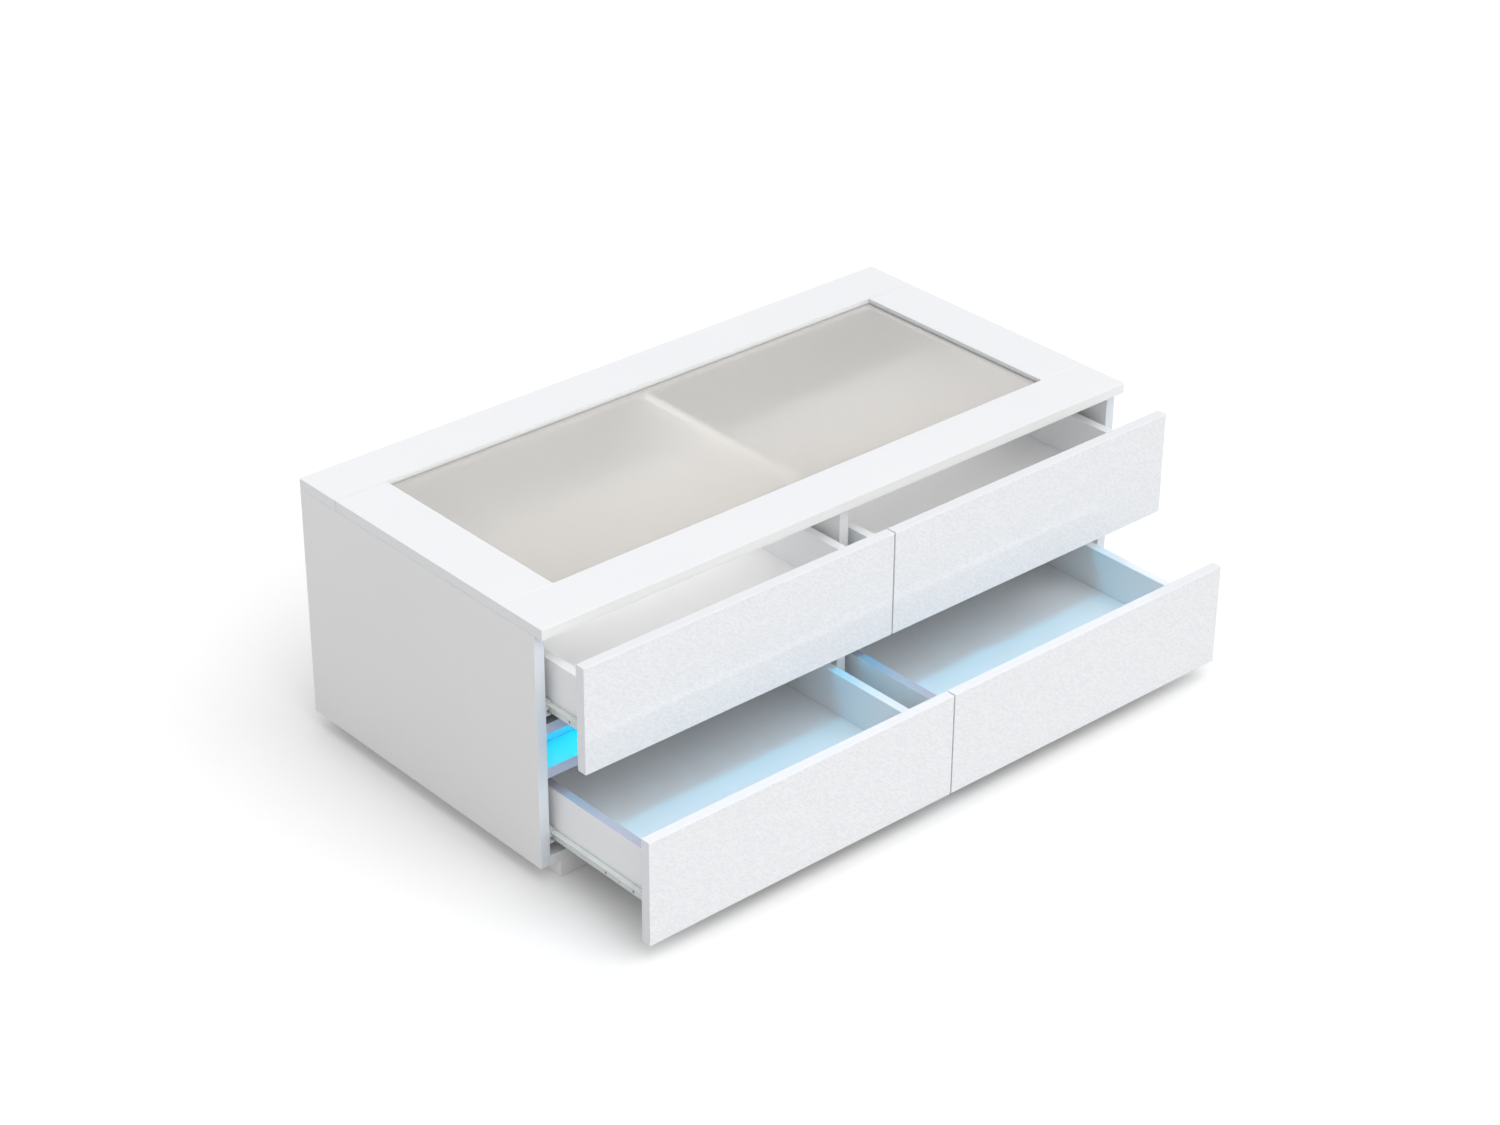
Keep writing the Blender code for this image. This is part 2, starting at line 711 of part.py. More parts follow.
def make_channels(row, side, channel_meshes, roller):
    """The two cabinet members of one bay, each with its front roller."""
    front_bottom, _ = ROWS[row]
    bottom = front_bottom + BOX_RISE
    middle = RAIL_HANDS[side] * BAY_MIDDLE
    for wall, turn in RAIL_HANDS.items():
        start = (middle + turn * BAY_WIDTH / 2, CHANNEL_START, bottom)
        channel = place(f"{row}_{side}_channel_{wall}", channel_meshes[wall], None, start)
        material(channel, SLIDE_STEEL)
        wheel = place(f"{row}_{side}_front_roller_{wall}", roller.copy())
        wheel.location = (
            start[0] - turn * ROLLER_OFFSET,
            CHANNEL_START + FRONT_ROLLER_SETBACK,
            bottom + FRONT_ROLLER_HEIGHT,
        )
        wheel.rotation_euler = (0, -turn * math.pi / 2, 0)
        material(wheel, NYLON)


clear_scene()
TABLE = new_collection("led_coffee_table")
CUTTERS = new_collection("cutters")
make_top()
make_carcass()
make_plinth()
make_light_recess()
RUNNERS = {wall: runner_mesh(wall, -turn) for wall, turn in RAIL_HANDS.items()}
CHANNELS = {wall: channel_mesh(wall, -turn) for wall, turn in RAIL_HANDS.items()}
ROLLER = front_roller_mesh()
for row in ROWS:
    for side in RAIL_HANDS:
        make_drawer(row, side, RUNNERS)
        make_channels(row, side, CHANNELS, ROLLER)
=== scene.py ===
import json
import math

import bmesh
import bpy
from mathutils import Matrix, Vector


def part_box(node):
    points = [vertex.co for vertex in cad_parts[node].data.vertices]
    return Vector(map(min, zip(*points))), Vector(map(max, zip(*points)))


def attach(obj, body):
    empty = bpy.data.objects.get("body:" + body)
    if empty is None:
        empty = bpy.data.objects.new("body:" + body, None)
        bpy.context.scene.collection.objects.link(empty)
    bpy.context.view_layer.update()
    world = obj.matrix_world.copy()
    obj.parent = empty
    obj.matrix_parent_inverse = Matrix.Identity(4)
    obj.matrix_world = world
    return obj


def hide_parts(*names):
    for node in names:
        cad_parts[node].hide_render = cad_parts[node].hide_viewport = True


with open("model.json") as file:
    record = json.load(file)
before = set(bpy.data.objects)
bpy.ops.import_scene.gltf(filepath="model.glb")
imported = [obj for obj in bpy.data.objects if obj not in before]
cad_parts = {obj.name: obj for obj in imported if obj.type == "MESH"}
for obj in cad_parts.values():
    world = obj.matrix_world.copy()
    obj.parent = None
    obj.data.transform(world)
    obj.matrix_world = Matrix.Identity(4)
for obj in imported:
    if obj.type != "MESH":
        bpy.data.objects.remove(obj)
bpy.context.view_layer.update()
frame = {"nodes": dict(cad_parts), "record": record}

MM = 0.001
HANDS = {"left": -1, "right": 1}
DRAWERS = [f"{row}_{side}" for row in ("upper", "lower") for side in HANDS]
HOME = {
    node: body
    for body, nodes in frame["record"]["behaviour"]["bodies"].items()
    for node in nodes
}
FORWARD, BACKWARD = (0, -1, 0), (0, 1, 0)
UPWARD, DOWNWARD = (0, 0, 1), (0, 0, -1)


# ---------------------------------------------------------------- finishes

# The Mix node's sockets for colours
FIRST_COLOUR, SECOND_COLOUR, MIXED_COLOUR = 6, 7, 2

# The part of the noise's range over which a colour or a gloss changes
NOISE_SPAN = (0.2, 0.8)

# How squarely a face looks in a direction where its own colour starts, and where it is full
FACING_SPAN = (0.6, 0.9)


def new_finish(name, colour, roughness, sockets=None):
    """A material whose shader has these plain values."""
    made = bpy.data.materials.new(name)
    made.use_nodes = True
    shader = shader_of(made)
    shader.inputs["Base Color"].default_value = (*colour, 1)
    shader.inputs["Roughness"].default_value = roughness
    for socket, value in (sockets or {}).items():
        shader.inputs[socket].default_value = value
    return made


def shader_of(made):
    """The material's surface shader."""
    return made.node_tree.nodes["Principled BSDF"]


def noise(made, per_metre, detail=2.0, length=1.0, slant=0.0):
    """Noise over the piece's own coordinates.

    The length draws it out along X, and the slant, in degrees, turns it in the XZ plane.
    """
    nodes, links = made.node_tree.nodes, made.node_tree.links
    where = nodes.new("ShaderNodeTexCoord")
    lay = nodes.new("ShaderNodeMapping")
    lay.vector_type = "TEXTURE"
    lay.inputs["Scale"].default_value = (length, 1, 1)
    lay.inputs["Rotation"].default_value = (0, math.radians(slant), 0)
    cloud = nodes.new("ShaderNodeTexNoise")
    cloud.inputs["Scale"].default_value = per_metre
    cloud.inputs["Detail"].default_value = detail
    links.new(where.outputs["Object"], lay.inputs["Vector"])
    links.new(lay.outputs["Vector"], cloud.inputs["Vector"])
    return cloud.outputs["Fac"]


def step(tree, value, span, result, interpolation="LINEAR"):
    """The value's span, laid over the span of the result."""
    made = tree.nodes.new("ShaderNodeMapRange")
    made.interpolation_type = interpolation
    made.inputs["From Min"].default_value, made.inputs["From Max"].default_value = span
    made.inputs["To Min"].default_value, made.inputs["To Max"].default_value = result
    tree.links.new(value, made.inputs["Value"])
    return made.outputs["Result"]


def alignment(tree, output, direction):
    """How far a coordinate of the surface points in a direction, from -1 to 1."""
    where = tree.nodes.new("ShaderNodeTexCoord")
    along = tree.nodes.new("ShaderNodeVectorMath")
    along.operation = "DOT_PRODUCT"
    along.inputs[1].default_value = direction
    tree.links.new(where.outputs[output], along.inputs[0])
    return along.outputs["Value"]


def facing(made, direction, here=1.0, elsewhere=0.0):
    """One value on faces that look this way and another elsewhere, softly across the arrises."""
    tree = made.node_tree
    return step(tree, alignment(tree, "Normal", direction), FACING_SPAN, (elsewhere, here))


def shade_between(made, share, dark, light, low=NOISE_SPAN[0], high=NOISE_SPAN[1]):
    """Let the colour wander between two shades as the noise rises from low to high."""
    ramp = made.node_tree.nodes.new("ShaderNodeValToRGB")
    ramp.color_ramp.interpolation = "EASE"
    for stop, place, shade in zip(ramp.color_ramp.elements, (low, high), (dark, light)):
        stop.position = place
        stop.color = (*shade, 1)
    made.node_tree.links.new(share, ramp.inputs["Fac"])
    made.node_tree.links.new(ramp.outputs["Color"], shader_of(made).inputs["Base Color"])


def tint_where(made, share, colour):
    """Lay another colour over the present one where the share is 1."""
    base = shader_of(made).inputs["Base Color"]
    mix = made.node_tree.nodes.new("ShaderNodeMix")
    mix.data_type = "RGBA"
    mix.inputs[SECOND_COLOUR].default_value = (*colour, 1)
    made.node_tree.links.new(base.links[0].from_socket, mix.inputs[FIRST_COLOUR])
    made.node_tree.links.new(share, mix.inputs["Factor"])
    made.node_tree.links.new(mix.outputs[MIXED_COLOUR], base)


def gloss_between(made, share, smooth_end, rough_end):
    """Let the roughness wander between two values."""
    tree = made.node_tree
    gloss = step(tree, share, NOISE_SPAN, (smooth_end, rough_end), "SMOOTHSTEP")
    tree.links.new(gloss, shader_of(made).inputs["Roughness"])


def relief(made, height, depth, coated=False):
    """Raise and sink the surface by the noise, and its clear coat too where it is coated."""
    tree = made.node_tree
    bump = tree.nodes.new("ShaderNodeBump")
    bump.inputs["Distance"].default_value = depth
    tree.links.new(height, bump.inputs["Height"])
    for socket in ("Normal", "Coat Normal") if coated else ("Normal",):
        tree.links.new(bump.outputs["Normal"], shader_of(made).inputs[socket])


def gloss_lacquer(name, dark, light, peel, coat):
    """High-gloss white lacquer: a clear coat with a faint orange peel over a nearly even white."""
    sockets = {"Coat Weight": coat, "Coat Roughness": 0.04, "Coat IOR": 1.5}
    made = new_finish(name, light, 0.3, sockets)
    shade_between(made, noise(made, 3.0), dark, light)
    gloss_between(made, noise(made, 9.0, 1.0), 0.31, 0.36)
    relief(made, noise(made, 160.0, 1.0), peel, coated=True)
    return made


def top_lacquer():
    """The top's lacquer; its front edge is painted lighter, painted light on the faces that look
    forward.
    """
    dark, light = (0.815, 0.83, 0.855), (0.835, 0.845, 0.865)
    made = gloss_lacquer("gloss_top", dark, light, peel=0.00002, coat=0.7)
    # Painted light: the faces that look forward are painted lighter than the rest of the top.
    tint_where(made, facing(made, FORWARD), (0.89, 0.895, 0.89))
    return made


def panel_lacquer():
    """The side panels' lacquer; their front edges are painted darker and bluer, painted shade and
    painted blue light.
    """
    dark, light = (0.83, 0.83, 0.83), (0.85, 0.85, 0.852)
    made = gloss_lacquer("gloss_panel", dark, light, peel=0.000025, coat=0.9)
    # Painted shade and painted blue light: the faces that look forward are painted darker and
    # bluer.
    tint_where(made, facing(made, FORWARD), (0.785, 0.835, 0.89))
    return made


def front_lacquer():
    """The fronts' gloss film: its streaky peel, a few millimetres long, is raised in the coat and
    also painted into the colour as a painted reflection; the edges are darker and cooler, and the
    inner face is painted lighter as painted light.
    """
    sockets = {"Coat Weight": 0.9, "Coat Roughness": 0.03, "Coat IOR": 1.75}
    made = new_finish("gloss_front", (0.84, 0.85, 0.87), 0.3, sockets)
    peel = noise(made, 395.0, 1.0, length=2.5, slant=37.0)
    # Painted reflection: the streaks of the peel are painted into the colour, lighter and darker.
    shade_between(made, peel, (0.79, 0.804, 0.833), (0.87, 0.876, 0.893), 0.3, 0.7)
    tint_where(made, facing(made, FORWARD, here=0.0, elsewhere=1.0), (0.80, 0.815, 0.845))
    # Painted light: the inner face, towards the back, is painted lighter than the outer face.
    tint_where(made, facing(made, BACKWARD), (0.93, 0.935, 0.95))
    gloss_between(made, noise(made, 12.0, 1.0), 0.31, 0.37)
    relief(made, peel, 0.000008, coated=True)
    return made


def satin_foil(name, dark, light):
    """Satin foil pressed on board, with a fine even tooth."""
    made = new_finish(name, light, 0.45, {"Specular IOR Level": 0.45})
    shade_between(made, noise(made, 5.0, 3.0), dark, light)
    gloss_between(made, noise(made, 60.0, 3.0), 0.40, 0.52)
    relief(made, noise(made, 1400.0), 0.00001)
    return made


def foil_with_painted_shade_edge(name, dark, light):
    """Satin foil whose upper edge is painted darker and cooler, as painted shade."""
    made = satin_foil(name, dark, light)
    # Painted shade: the faces that look up are painted darker and cooler.
    tint_where(made, facing(made, UPWARD), (0.50, 0.50, 0.59))
    return made


def etched_glass():
    """The pane's acid-etched face: part of the light scatters on it, the rest passes blurred."""
    sockets = {"Transmission Weight": 0.57, "IOR": 1.5}
    made = new_finish("etched_glass", (0.97, 0.935, 0.89), 0.42, sockets)
    shade_between(made, noise(made, 4.0), (0.955, 0.922, 0.878), (0.975, 0.942, 0.90))
    gloss_between(made, noise(made, 9.0), 0.40, 0.44)
    relief(made, noise(made, 2600.0), 0.000006)
    return made


def clear_glass():
    """The pane's plain underside."""
    sockets = {"Transmission Weight": 1.0, "IOR": 1.5}
    made = new_finish("clear_glass", (0.97, 0.985, 0.98), 0.05, sockets)
    gloss_between(made, noise(made, 30.0), 0.03, 0.09)
    return made


def ground_edge_painted_shade():
    """The pane's ground and arrissed edges, dark grey-green as float glass is edge on, and opaque
    so the gap round the pane stays dark: partly the glass's own look, partly painted shade.
    """
    made = new_finish("ground_edge_painted_shade", (0.075, 0.095, 0.09), 0.5, {"Specular IOR Level": 0.4})
    shade_between(made, noise(made, 120.0), (0.045, 0.06, 0.055), (0.075, 0.095, 0.09))
    gloss_between(made, noise(made, 300.0), 0.45, 0.60)
    return made


def slide_coating():
    """Light grey epoxy coating, with the faint pebble of a baked powder coat."""
    sockets = {"Coat Weight": 0.3, "Coat Roughness": 0.25}
    made = new_finish("slide_epoxy", (0.76, 0.80, 0.79), 0.4, sockets)
    shade_between(made, noise(made, 40.0, 3.0), (0.72, 0.76, 0.75), (0.79, 0.83, 0.82))
    gloss_between(made, noise(made, 90.0, 3.0), 0.34, 0.48)
    relief(made, noise(made, 1500.0, 1.0), 0.00002)
    return made


def bare_zinc():
    """Zinc-plated steel of screws and rivets."""
    made = new_finish("zinc", (0.63, 0.65, 0.67), 0.32, {"Metallic": 1.0})
    shade_between(made, noise(made, 300.0, 4.0), (0.50, 0.52, 0.53), (0.68, 0.70, 0.72))
    gloss_between(made, noise(made, 700.0, 3.0), 0.24, 0.45)
    return made


def tinned_copper():
    """The strip's copper pads, thinly tinned."""
    made = new_finish("solder_pad", (0.80, 0.52, 0.32), 0.3, {"Metallic": 1.0})
    shade_between(made, noise(made, 900.0), (0.72, 0.48, 0.30), (0.84, 0.68, 0.52))
    gloss_between(made, noise(made, 1200.0), 0.22, 0.42)
    return made


def moulded(name, dark, light, roughness, sockets=None):
    """Moulded plastic with a fine spark-eroded tooth."""
    made = new_finish(name, light, roughness, sockets)
    shade_between(made, noise(made, 25.0), dark, light)
    gloss_between(made, noise(made, 120.0), roughness - 0.05, roughness + 0.05)
    relief(made, noise(made, 2200.0, 1.0), 0.00001)
    return made


def glowing(name, colour, light, strength):
    """A face that gives light of its own, with a fine tooth."""
    sockets = {"Emission Color": (*light, 1), "Emission Strength": strength}
    made = new_finish(name, colour, 0.4, sockets)
    relief(made, noise(made, 900.0), 0.00001)
    return made


WAXY = {"Subsurface Weight": 0.2, "Subsurface Scale": 0.002}

LACQUER = top_lacquer()
PANEL = panel_lacquer()
# Painted light: the plinth's lacquer is painted lighter than the panels', for light that the
# plinth lacks in the shade under the drawers.
PLINTH_PAINTED_LIGHT = gloss_lacquer(
    "gloss_plinth_painted_light", (0.92, 0.915, 0.905), (0.94, 0.935, 0.925), peel=0.000025, coat=0.9
)
FRONT = front_lacquer()
INNER = satin_foil("inner_foil", (0.86, 0.86, 0.865), (0.89, 0.89, 0.89))
BOX_FOIL = satin_foil("drawer_foil", (0.89, 0.90, 0.915), (0.915, 0.925, 0.935))
PAINTED_SHADE_EDGED_FOIL = foil_with_painted_shade_edge(
    "drawer_foil_painted_shade_edge", (0.89, 0.90, 0.915), (0.915, 0.925, 0.935)
)
BASE_FOIL = satin_foil("drawer_base_foil", (0.89, 0.89, 0.895), (0.91, 0.91, 0.915))
# Painted light: the recess's faces towards the strip are painted cyan, the strip's light on white
# foil.
RECESS_PAINTED_LIGHT = satin_foil("recess_painted_cyan_light", (0.22, 0.74, 0.84), (0.26, 0.78, 0.87))
# Painted shade and painted blue light on the recess boards' front edges, which are white foil.
SHELF_EDGE_PAINTED_SHADE = satin_foil("shelf_edge_painted_shade", (0.48, 0.53, 0.68), (0.54, 0.59, 0.73))
# Painted shade: the recess boards' faces away from the strip are painted dark grey.
SHELF_PAINTED_SHADE = satin_foil("shelf_face_painted_shade", (0.20, 0.215, 0.24), (0.25, 0.265, 0.29))
ETCHED = etched_glass()
CLEAR = clear_glass()
# Partly painted shade: the pane's edges are dark and let no light into the gap round the pane.
GROUND_EDGE_SHADE = ground_edge_painted_shade()
EPOXY = slide_coating()
ZINC = bare_zinc()
# Painted shade: the screws' zinc cross recesses are painted near black for the shade in them.
RECESS_PAINTED_SHADE = moulded("screw_recess_painted_shade", (0.04, 0.04, 0.045), (0.09, 0.09, 0.095), 0.6)
NYLON = moulded("roller_nylon", (0.80, 0.80, 0.77), (0.85, 0.85, 0.83), 0.38, WAXY)
CASE = moulded("case_plastic", (0.78, 0.78, 0.78), (0.83, 0.83, 0.83), 0.42)
RESISTOR_BODY = moulded("resistor_body", (0.03, 0.03, 0.032), (0.05, 0.05, 0.052), 0.4)
TAPE = moulded("strip_tape", (0.80, 0.82, 0.82), (0.85, 0.86, 0.86), 0.45)
COPPER = tinned_copper()
CHIP_LIGHT = glowing("chip_light", (0.3, 0.9, 1.0), (0.004, 0.62, 1.0), 100.0)
TAPE_GLOW = glowing("tape_glow", (0.6, 0.9, 1.0), (0.004, 0.66, 1.0), 6.0)


# ---------------------------------------------------------------- making pieces

# Faces that meet at less than these degrees are shaded as one
SMALL_PART_ANGLE = 40
TURNED_ANGLE = 35
BOARD_ANGLE = 25


def object_of(shape, name):
    """Turn a bmesh into an object."""
    mesh = bpy.data.meshes.new(name)
    shape.to_mesh(mesh)
    shape.free()
    obj = bpy.data.objects.new(name, mesh)
    bpy.context.scene.collection.objects.link(obj)
    return obj


def piece_from(shape, name, body, finishes):
    """Turn a finished bmesh into a piece that rides on a body."""
    obj = object_of(shape, name)
    for finish in finishes:
        obj.data.materials.append(finish)
    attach(obj, body)
    return obj


def dress(nodes, finish):
    """Give CAD nodes a finish in their own slots."""
    for node in nodes:
        for slot in frame["nodes"][node].material_slots:
            slot.material = finish


def in_mm(*place):
    """A place or a size that is given in millimetres."""
    return tuple(value * MM for value in place)


def smooth(shape, angle):
    """Shade softly except across corners sharper than the angle."""
    for face in shape.faces:
        face.smooth = True
    for edge in shape.edges:
        flat = len(edge.link_faces) == 2 and edge.calc_face_angle() < math.radians(angle)
        edge.smooth = flat


def round_edges(shape, edges, width, segments):
    """Round edges over this width."""
    bmesh.ops.bevel(
        shape, geom=edges, offset=width, affect="EDGES", segments=segments, profile=0.5,
        material=-1,
    )


def cube_at(shape, low, high):
    """A block between two corners."""
    low, high = Vector(low), Vector(high)
    verts = bmesh.ops.create_cube(shape, size=1)["verts"]
    bmesh.ops.scale(shape, vec=high - low, verts=verts)
    bmesh.ops.translate(shape, vec=(low + high) / 2, verts=verts)
    return verts


def cone_at(shape, place, steps, foot, head, depth):
    """A cone or disc of these radii at a place, a matrix that may turn it."""
    return bmesh.ops.create_cone(
        shape, cap_ends=True, segments=steps, radius1=foot, radius2=head, depth=depth,
        matrix=place,
    )["verts"]


def faces_of(verts):
    """The faces round these corners."""
    return {face for vert in verts for face in vert.link_faces}


# ---------------------------------------------------------------- boards

BOARD_ARRIS = 0.8 * MM
PANE_ARRIS = 1.3 * MM
ARRIS_STEPS = 3
TOP_NODES = ["top_front_rail", "top_back_rail", "top_left_rail", "top_right_rail"]


def dress_boards():
    """Lacquer and foil the boards that keep their CAD shapes."""
    dress(TOP_NODES, LACQUER)
    dress(["side_panel_left", "side_panel_right", "back_panel"], PANEL)
    dress(["plinth_frame"], PLINTH_PAINTED_LIGHT)
    dress(["bottom_panel", "centre_divider"], INNER)
    for drawer in DRAWERS:
        dress([f"{drawer}_drawer_front"], FRONT)
        boards = [f"{drawer}_drawer_{part}" for part in ("left_side", "right_side", "back")]
        dress(boards, BOX_FOIL)
        dress([f"{drawer}_drawer_base"], BASE_FOIL)
    # The lower drawers' left sides get painted shade along their upper edges.
    dress(["lower_left_drawer_left_side", "lower_right_drawer_left_side"], PAINTED_SHADE_EDGED_FOIL)


def frosted_pane():
    """The glass pane: an etched top face, a clear underside and ground, arrissed edges, which are
    dark and opaque, partly painted shade.
    """
    etched, clear, ground = 0, 1, 2
    shape = bmesh.new()
    cube_at(shape, *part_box("frosted_glass"))
    round_edges(shape, shape.edges[:], PANE_ARRIS, ARRIS_STEPS)
    smooth(shape, BOARD_ANGLE)
    for face in shape.faces:
        face.material_index = ground
        if abs(face.normal.z) > 0.99:
            face.material_index = clear if face.normal.z < 0 else etched
    finishes = [ETCHED, CLEAR, GROUND_EDGE_SHADE]
    piece = piece_from(shape, "frosted_pane", "table", finishes)
    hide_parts("frosted_glass")


def lit_board(node, name, towards):
    """A board of the light recess.

    The face towards the light is painted cyan, painted light of the strip; the face behind it is
    painted dark, painted shade; and the front edge is painted blue-grey, painted shade with
    painted blue light.
    """
    lit, painted_shade_edge, hidden = 1, 2, 3
    shape = bmesh.new()
    cube_at(shape, *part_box(node))
    for face in shape.faces:
        towards_light = face.normal.dot(Vector(towards))
        if abs(towards_light) > 0.9:
            face.material_index = lit if towards_light > 0 else hidden
    front = min(shape.faces, key=lambda face: face.normal.y)
    # A front edge that is neither towards nor away from the light gets the painted shade.
    front.material_index = front.material_index or painted_shade_edge
    round_edges(shape, shape.edges[:], BOARD_ARRIS, ARRIS_STEPS)
    smooth(shape, BOARD_ANGLE)
    finishes = [INNER, RECESS_PAINTED_LIGHT, SHELF_EDGE_PAINTED_SHADE, SHELF_PAINTED_SHADE]
    piece = piece_from(shape, name, "table", finishes)
    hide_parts(node)


# ---------------------------------------------------------------- roller slides

# In mm: u runs from the bay's wall towards the drawer, y back from the member's front end,
# and w upwards from the drawer box's lower edge
SLIDE_GAP = 12.7
STEEL = 1.2
BEND = 1.0
ROOF_BEND = 2.2
BEND_STEPS = 5
ROUND_STEPS = 24

CHANNEL_LENGTH = 450
CHANNEL_WEB = 0.9
CHANNEL_PATH = ((10.0, -0.6), (CHANNEL_WEB, -0.6), (CHANNEL_WEB, 21.7), (10.0, 21.7))
CHANNEL_HOLE_LEVEL = 10.55
CHANNEL_SCREWS = (54.0, 247.5, 414.0)
CHANNEL_HOLES = (86.0, 118.0, 182.0, 311.0, 375.0)
CHANNEL_SLOTS = (150.0, 343.0)
CHANNEL_SCREW_SEAT = 1.5

RUNNER_LENGTH = 449.7
RUNNER_WEB = 11.8
RUNNER_PATH = ((2.3, 18.9), (RUNNER_WEB, 18.9), (RUNNER_WEB, -0.9), (25.0, -0.9))
RUNNER_HOLE_LEVEL = 4.5
RUNNER_SCREWS = (54.0, 117.0, 351.0)
RUNNER_HOLES = (86.0, 213.0, 255.0, 400.0)
RUNNER_SLOTS = (170.0, 310.0)
RUNNER_SCREW_SEAT = 11.2
FRONT_SLOT = (9.0, 4.0, 5.1), (14.0, 34.0, 6.7)

# The notch in the runner's roof that clears the rear roller, from beside it to past the end
NOTCH_GAP = 1.5
NOTCH_END = 455
NOTCH_U = (-3.0, 11.2)
NOTCH_W = (17.7, 24.0)

HOLE_RADIUS = 2.2
NARROW_SLOT_RADIUS = 1.8
SLOT_STRETCH = 9.0
PUNCH_DEPTH = 6

STOP_PLACE = (5.15, 92.1, 21.7)
STOP_DEPTH = 1.8
STOP_OUTER = (2.4, 3.8)
STOP_INNER = (1.5, 2.9)

ROLLER_BORE = 2.5
ROLLER_HUB = 3.6
ROLLER_WIDTH = 8.0
ROLLER_RIM = 1.6
ROLLER_WALL_GAP = 2.0
FRONT_RADIUS = 8.5
FRONT_Y, FRONT_LEVEL = 12.0, 9.5
REAR_RADIUS = 10.25
REAR_INSET, REAR_LEVEL = 14.0, 10.55
FRONT_RIVET = (
    (10.9, 0), (10.85, 2.4), (10.6, 3.4), (10.3, 3.6), (10.3, 2.2), (0.6, 2.2), (0.6, 0),
)
REAR_RIVET = (
    (1.4, 0), (1.45, 2.4), (1.7, 3.4), (1.95, 3.5), (1.95, 2.2), (12.1, 2.2), (12.1, 0),
)

# The countersunk screw's head; the shares are of its radius
HEAD_RADIUS = 3.3
HEAD_DEPTH = 1.5
HEAD_CROWN = 0.25
HEAD_STEPS = 16
FOOT_SHARE = 0.55
CROWN_SHARE = 0.3
FLAT_SHARE = 0.12
CROSS_WAIST = 0.36
CROSS_DEPTH = 1.0
CROSS_TAPER = 0.12


def applied(obj):
    """The object's shape with its modifiers applied, as a bmesh; the object itself goes."""
    bpy.context.view_layer.update()
    finished = obj.evaluated_get(bpy.context.evaluated_depsgraph_get())
    mesh = bpy.data.meshes.new_from_object(finished)
    shape = bmesh.new()
    shape.from_mesh(mesh)
    bpy.data.meshes.remove(mesh)
    bpy.data.objects.remove(obj, do_unlink=True)
    return shape


def rolled(points, bends, length):
    """A rolled section drawn out along Y, its corners bent round, in the steel's thickness."""
    shape = bmesh.new()
    row = [shape.verts.new(in_mm(u, 0, w)) for u, w in points]
    for pair in zip(row, row[1:]):
        shape.edges.new(pair)
    for corner, bend in zip(row[1:-1], bends):
        bmesh.ops.bevel(
            shape, geom=[corner], offset=bend * MM, affect="VERTICES", segments=BEND_STEPS,
            profile=0.5, material=-1,
        )
    swept = bmesh.ops.extrude_edge_only(shape, edges=shape.edges[:])["geom"]
    drawn = [item for item in swept if isinstance(item, bmesh.types.BMVert)]
    bmesh.ops.translate(shape, vec=in_mm(0, length, 0), verts=drawn)
    bmesh.ops.recalc_face_normals(shape, faces=shape.faces)
    section = object_of(shape, "section")
    wall = section.modifiers.new("thickness", "SOLIDIFY")
    wall.thickness = STEEL * MM
    wall.offset = 0
    wall.use_even_offset = True
    return applied(section)


def worked(shape, tool, operation):
    """Cut the tool out of the shape, or join it on."""
    blank, cutter = object_of(shape, "blank"), object_of(tool, "cutter")
    work = blank.modifiers.new("work", "BOOLEAN")
    work.operation = operation
    work.object = cutter
    done = applied(blank)
    bpy.data.objects.remove(cutter, do_unlink=True)
    return done


def punch_hole(tool, u, y, w, radius=HOLE_RADIUS, stretch=0.0):
    """A round punch through the web; a stretch draws it into a slot along Y."""
    along_x = Matrix.Translation(in_mm(u, y, w)) @ Matrix.Rotation(math.pi / 2, 4, "Y")
    verts = cone_at(tool, along_x, ROUND_STEPS, radius * MM, radius * MM, PUNCH_DEPTH * MM)
    if stretch:
        for vert in verts:
            vert.co.y += math.copysign(stretch / 2 * MM, vert.co.y - y * MM)


def screw_head(shape, u, y, w, way):
    """A countersunk head with a cross recess, its face towards +X or -X as the way is 1 or -1."""
    turn = Matrix.Rotation(way * math.pi / 2, 4, "Y")
    middle = Vector(in_mm(u + way * (HEAD_CROWN - HEAD_DEPTH) / 2, y, w))
    foot = Matrix.Translation(middle - Vector((way * HEAD_CROWN / 2 * MM, 0, 0)))
    verts = cone_at(
        shape, foot @ turn, HEAD_STEPS, HEAD_RADIUS * FOOT_SHARE * MM, HEAD_RADIUS * MM,
        (HEAD_DEPTH - HEAD_CROWN) * MM,
    )
    top = max(faces_of(verts), key=lambda face: way * face.calc_center_median().x)
    for share, rise in ((CROWN_SHARE, HEAD_CROWN * MM), (FLAT_SHARE, 0)):
        thickness = HEAD_RADIUS * share * MM
        bmesh.ops.inset_region(shape, faces=[top], thickness=thickness, depth=rise)
    centre = top.calc_center_median()
    for index, vert in enumerate(list(top.verts)):
        if index % 4 > 1:
            vert.co = centre + (vert.co - centre) * CROSS_WAIST
    bmesh.ops.inset_region(
        shape, faces=[top], thickness=CROSS_TAPER * MM, depth=-CROSS_DEPTH * MM
    )
    # The cross recess takes the second finish, painted shade.
    for face in faces_of(top.verts):
        face.material_index = 1


